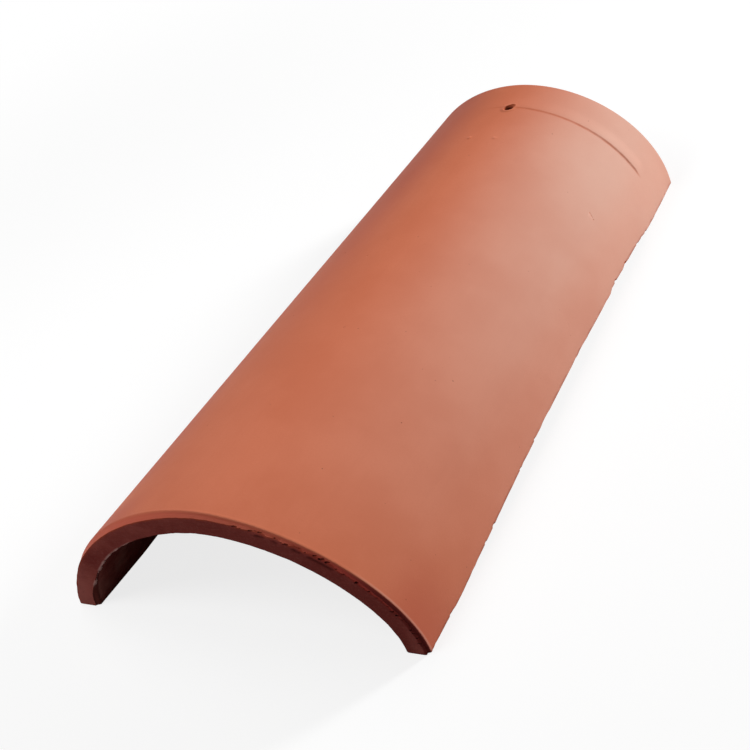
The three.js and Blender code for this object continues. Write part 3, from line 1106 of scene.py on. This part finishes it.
def raw_shader(bench, spot):
    """Cut, broken and former-side clay: open grained and dead matt, sanded and dragged inside."""
    drift = bench.noise(spot.place, *RAW_DRIFT)
    grit = bench.noise(spot.place, *RAW_GRIT)
    pits = bench.dots(spot.place, *PITS)
    sand = bench.dots(spot.place, *SAND_GRAINS)
    lining = marked(bench, "lining")
    lengthwise = bench.noise(bench.join("MULTIPLY", spot.place, DRAWN_ALONG), *LENGTHWISE_DRAG)
    crosswise = bench.noise(bench.join("MULTIPLY", spot.place, DRAWN_ACROSS), *CROSSWISE_DRAG)
    lines = bench.blend(crosswise, lengthwise, lining)

    core = spot.across.between(*CORE_ACROSS) * (1 - lining) * CORE_STRENGTH
    dust = spot.across.ramp(*LEFT_FOOT_DUST) + spot.across.ramp(*RIGHT_FOOT_DUST)
    sanded = lining * spot.y.ramp(*SANDED_ALONG)
    opened = bench.most(marked(bench, "broken"), marked(bench, "pierced"))
    # The hole's walls darken with depth, as painted shade.
    hole = marked(bench, "pierced") * spot.z.ramp(*HOLE_DARKENS)
    burr = bench.most(marked(bench, "crumb"), marked(bench, "burred"))

    colour = bench.tint(drift.ramp(*RAW_DRIFTS) * (1 - core), RAW_DEEP, RAW_RED)
    colour = bench.coated(colour, [
        (grit.ramp(*GRITTED), RAW_PALE),
        (lines.ramp(*DRAGGED), RAW_DEEP),
        (dust * (1 - lining), FOOT_DUST),
        (sand * sanded * COVER["sand"], SAND),
        (sanded * drift.ramp(*SAND_DRIFTS), SAND),
        # Painted shade over the lining under the arch, except where it is sanded near the wide end.
        ((lining - sanded) * COVER["lining_shade"], DEEP_SHADE),
        (spot.y.ramp(*WARM_ALONG), RAW_WARM),
        (pits * COVER["pits"], DARK_SPECK),
        (opened * COVER["opened"], SKIN_DEEP),
        (hole * COVER["hole"], HOLE_SHADE),
        # Pale dust and a painted highlight on the burr and its crumbs.
        (burr * COVER["burr"], BURR_DUST_AND_HIGHLIGHT),
        *rim_coats(bench, spot),
        # Painted shade in the nicks and under the torn arris.
        (bench.most(cover(bench, "nicked"), cover(bench, "torn")), DEEP_SHADE),
    ])
    height = grit * GRIT_HIGH + lines * DRAG_HIGH + sand * lining * SAND_HIGH - pits * PIT_DEEP
    return clay_surface(bench, colour, 1.0, 0.0, height)


def fired_clay():
    """Red clay: smooth satin skin on the back, raw and matt where it was cut or broken and inside."""
    material = bpy.data.materials.new("fired_clay")
    bench = cleared(material)
    spot = clay_spot(bench)
    raw = 0.0
    for name in RAW_MARKS:
        raw = bench.most(raw, marked(bench, name))
    shaders = {0: raw, 1: skin_shader(bench, spot), 2: raw_shader(bench, spot)}
    shader = bench.add("ShaderNodeMixShader", None, shaders)["Shader"]
    bench.add("ShaderNodeOutputMaterial", None, {"Surface": shader})
    return material


# ---- studio

FLOOR_RADIUS = 3.0
FLOOR_SIDES = 96

# How much of the floor's brightness is its own, and how much comes from the lamps and so holds shadow.
FLOOR_GLOW = 0.80
FLOOR_SHADE = 0.24
FLOOR_FADE = (0.28, 0.75)
FLOOR_BOUNCE = 0.32
WORLD_FILL = 0.06

# The camera: where it stands, what it looks at, how far it is turned about its view axis, and its lens.
CAMERA_PLACE = Vector((539.8, -706.67, 597.81)) * MM
CAMERA_AIM = Vector((-8.76, -22.45, 19.74)) * MM
CAMERA_ROLL = math.radians(-20.25)
CAMERA_LENS = 90.87
CAMERA_SENSOR = 36
CAMERA_NEAREST = 0.01

# Lamps: where they stand, what they aim at, their size, the brightness that they give a face turned to
# them, and whether a gloss shows them. The two at the back only shade the flank.
LAMPS = {
    "over_left": ((-0.25, 0.0, 0.5), (0.0, -0.05, 0.03), 0.4, 0.29, True),
    "near_front": ((-0.3, -0.45, 0.7), (0.0, -0.05, 0.03), 0.4, 0.32, True),
    "far_right": ((1.449, 0.0, 0.388), (0.0, 0.05, 0.03), 0.8, 0.07, True),
    "back_right": ((0.9, 1.3, 0.6), (0.04, 0.12, 0.04), 0.3, 0.93, False),
    "low_right": ((0.7, 1.0, 0.3), (0.04, 0.12, 0.04), 0.3, 0.42, False),
}


def seen_rays(bench):
    """1 for the rays that show the studio: those of the camera, of a gloss and through glass."""
    rays = bench.add("ShaderNodeLightPath")
    seen = bench.most(rays["Is Camera Ray"], rays["Is Glossy Ray"])
    return bench.most(seen, rays["Is Transmission Ray"])


def diffuse(bench, level):
    """Matt grey paper, from 0 for black to 1 for white."""
    return bench.add("ShaderNodeBsdfDiffuse", None, {"Color": (level, level, level, 1.0)})["BSDF"]


def floor_material():
    """White paper. It holds the tile's own soft shadow and throws little light back."""
    material = bpy.data.materials.new("studio_floor")
    bench = cleared(material)
    place = bench.add("ShaderNodeTexCoord")["Object"]
    distance = bench.add("ShaderNodeVectorMath", {"operation": "LENGTH"}, {0: place})["Value"]
    glow = bench.add("ShaderNodeEmission", None, {"Strength": FLOOR_GLOW})["Emission"]
    near = bench.add("ShaderNodeAddShader", None, {0: glow, 1: diffuse(bench, FLOOR_SHADE)})["Shader"]
    far = bench.add("ShaderNodeEmission", None, {"Strength": 1.0})["Emission"]
    fade = distance.ramp(*FLOOR_FADE)
    seen = bench.add("ShaderNodeMixShader", None, {0: fade, 1: near, 2: far})["Shader"]
    sockets = {0: seen_rays(bench), 1: diffuse(bench, FLOOR_BOUNCE), 2: seen}
    shader = bench.add("ShaderNodeMixShader", None, sockets)["Shader"]
    bench.add("ShaderNodeOutputMaterial", None, {"Surface": shader})
    return material


def make_floor():
    """A wide round sheet of paper under the tile."""
    bpy.ops.mesh.primitive_circle_add(vertices=FLOOR_SIDES, radius=FLOOR_RADIUS, fill_type="NGON")
    floor = bpy.context.object
    floor.name = "studio_floor"
    floor.data.materials.append(floor_material())
    return floor


def light_world():
    """White surroundings that hardly light the tile."""
    world = bpy.data.worlds.new("studio")
    bpy.context.scene.world = world
    bench = cleared(world)
    strength = bench.blend(WORLD_FILL, 1.0, seen_rays(bench))
    sockets = {"Color": (1.0, 1.0, 1.0, 1.0), "Strength": strength}
    background = bench.add("ShaderNodeBackground", None, sockets)["Background"]
    bench.add("ShaderNodeOutputWorld", None, {"Surface": background})


def add_lamp(name, place, aim, size, brightness, in_gloss):
    """A soft round lamp. A white matt face turned to it where it aims looks as bright as it says."""
    reach = Vector(aim) - Vector(place)
    light = bpy.data.lights.new(name, "AREA")
    light.shape = "DISK"
    light.size = size
    light.energy = brightness * (math.pi * reach.length) ** 2
    lamp = placed(name, light)
    lamp.visible_glossy = in_gloss
    lamp.location = place
    lamp.rotation_euler = reach.to_track_quat("-Z", "Y").to_euler()


def add_camera():
    camera = bpy.data.cameras.new("camera")
    camera.lens = CAMERA_LENS
    camera.sensor_width = CAMERA_SENSOR
    camera.clip_start = CAMERA_NEAREST
    holder = placed("camera", camera)
    upright = (CAMERA_AIM - CAMERA_PLACE).to_track_quat("-Z", "Y")
    rolled = upright @ Quaternion((0.0, 0.0, 1.0), CAMERA_ROLL)
    holder.location = CAMERA_PLACE
    holder.rotation_euler = rolled.to_euler()
    bpy.context.scene.camera = holder


tile = make_tile(fired_clay())
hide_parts("barrel_tile")
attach(tile, "root")

make_floor()
light_world()
for name, lamp in LAMPS.items():
    add_lamp(name, *lamp)
add_camera()
bpy.context.scene.view_settings.view_transform = "Standard"
